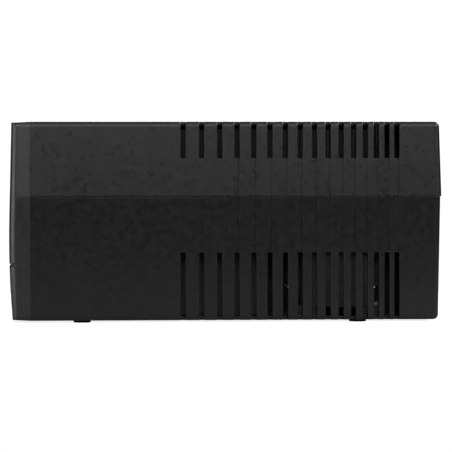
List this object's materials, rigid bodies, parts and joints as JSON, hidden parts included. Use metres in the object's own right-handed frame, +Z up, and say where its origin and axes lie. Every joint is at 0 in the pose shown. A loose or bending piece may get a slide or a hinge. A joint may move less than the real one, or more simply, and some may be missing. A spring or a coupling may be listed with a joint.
{
  "type": "uninterruptible power supply",
  "caption": "Compact line-interactive backup power unit in a black plastic clamshell case, with side vents, a bulging front bezel, a power button and rear mains sockets.",
  "frame": {"origin": "on the floor under the middle of the box, where its feet stand", "axes": "+Z up; -Y out of the front bezel, so +Y out of the socket panel; +X out of the side that has the mains inlet next to it, which is the side that the picture shows"},
  "size_m": [0.101, 0.3, 0.139],
  "materials": {
    "battery_case": "moulded",
    "blade_fuse": "translucent",
    "black_insulation": "PVC",
    "red_insulation": "PVC",
    "battery_lid": "moulded",
    "terminal": "tinned",
    "screw_steel": "zinc plated",
    "buzzer": "moulded",
    "capacitor_sleeve": "shrink sleeve",
    "data_port": "moulded",
    "circuit_board": "solder mask",
    "ribbon": "PVC ribbon",
    "foot_rubber": "matt",
    "front_bezel": "fine texture",
    "front_fascia": "gloss",
    "socket_plastic": "satin",
    "heatsink": "black anodised",
    "pin_nickel": "nickel plated",
    "amber_lens": "clear moulded",
    "red_lens": "clear moulded",
    "green_lens": "clear moulded",
    "lower_case": "fine spark-eroded texture",
    "fuse_glass": "glass tube with metal caps",
    "brown_insulation": "PVC",
    "blue_insulation": "PVC",
    "contact_brass": "stamped",
    "power_button": "satin",
    "spring_steel": "drawn wire",
    "switch_body": "moulded",
    "switch_plunger": "moulded",
    "transistor": "moulded epoxy",
    "rear_panel": "fine texture",
    "relay": "moulded",
    "bobbin": "moulded nylon",
    "clamp_steel": "black painted strip",
    "laminations": "varnished laminations",
    "sleeving": "woven sleeving",
    "winding_tape": "polyester tape",
    "upper_cover": "fine spark-eroded texture",
    "port_shell": "nickel plated"
  },
  "bodies": {
    "housing": {"battery_case": "battery_case", "battery_fuse": "blade_fuse", "battery_lead_negative": "black_insulation", "battery_lead_positive": "red_insulation", "battery_lid": "battery_lid", "battery_terminal_negative": "terminal", "battery_terminal_positive": "terminal", "board_screws": "screw_steel", "buzzer": "buzzer", "capacitor": "capacitor_sleeve", "case_screws": "screw_steel", "data_port": "data_port", "display_board": "circuit_board", "display_cable": "ribbon", "foot_front_left": "foot_rubber", "foot_front_right": "foot_rubber", "foot_rear_left": "foot_rubber", "foot_rear_right": "foot_rubber", "front_bezel": "front_bezel", "front_fascia": "front_fascia", "heatsink_left": "heatsink", "heatsink_right": "heatsink", "inlet_pin_earth": "pin_nickel", "inlet_pin_line": "pin_nickel", "inlet_pin_neutral": "pin_nickel", "light_pipe_battery": "amber_lens", "light_pipe_fault": "red_lens", "light_pipe_mains": "green_lens", "lower_case": "lower_case", "main_board": "circuit_board", "mains_inlet": "socket_plastic", "mains_lead_line": "brown_insulation", "mains_lead_neutral": "blue_insulation", "outlet_1": "socket_plastic", "outlet_2": "socket_plastic", "outlet_3": "socket_plastic", "outlet_strip_earth": "contact_brass", "outlet_strip_line": "contact_brass", "outlet_strip_neutral": "contact_brass", "power_switch": "switch_body", "power_transistor_left": "transistor", "power_transistor_right": "transistor", "rear_panel": "rear_panel", "relay_left": "relay", "relay_right": "relay", "transformer_bobbin": "bobbin", "transformer_clamp_left": "clamp_steel", "transformer_clamp_right": "clamp_steel", "transformer_core": "laminations", "transformer_lead_high": "sleeving", "transformer_lead_low": "sleeving", "transformer_screws": "screw_steel", "transformer_winding": "winding_tape", "upper_cover": "upper_cover", "usb_port": "port_shell"},
    "power_button": {"power_button": "power_button", "power_switch_plunger": "switch_plunger", "power_button_spring": "spring_steel"},
    "fuse_drawer": {"fuse_drawer": "socket_plastic", "mains_fuse": "fuse_glass"}
  },
  "joints": [
    {"name": "power_button_press", "type": "slide", "parent": "housing", "child": "power_button", "axis": [0, 1, 0], "range_m": [0, 0.0025], "stiffness_N_per_m": 600, "springref_m": -0.001, "deforming": ["power_button_spring"]},
    {"name": "fuse_drawer_pull", "type": "slide", "parent": "housing", "child": "fuse_drawer", "axis": [0, 1, 0], "range_m": [0, 0.015]}
  ]
}
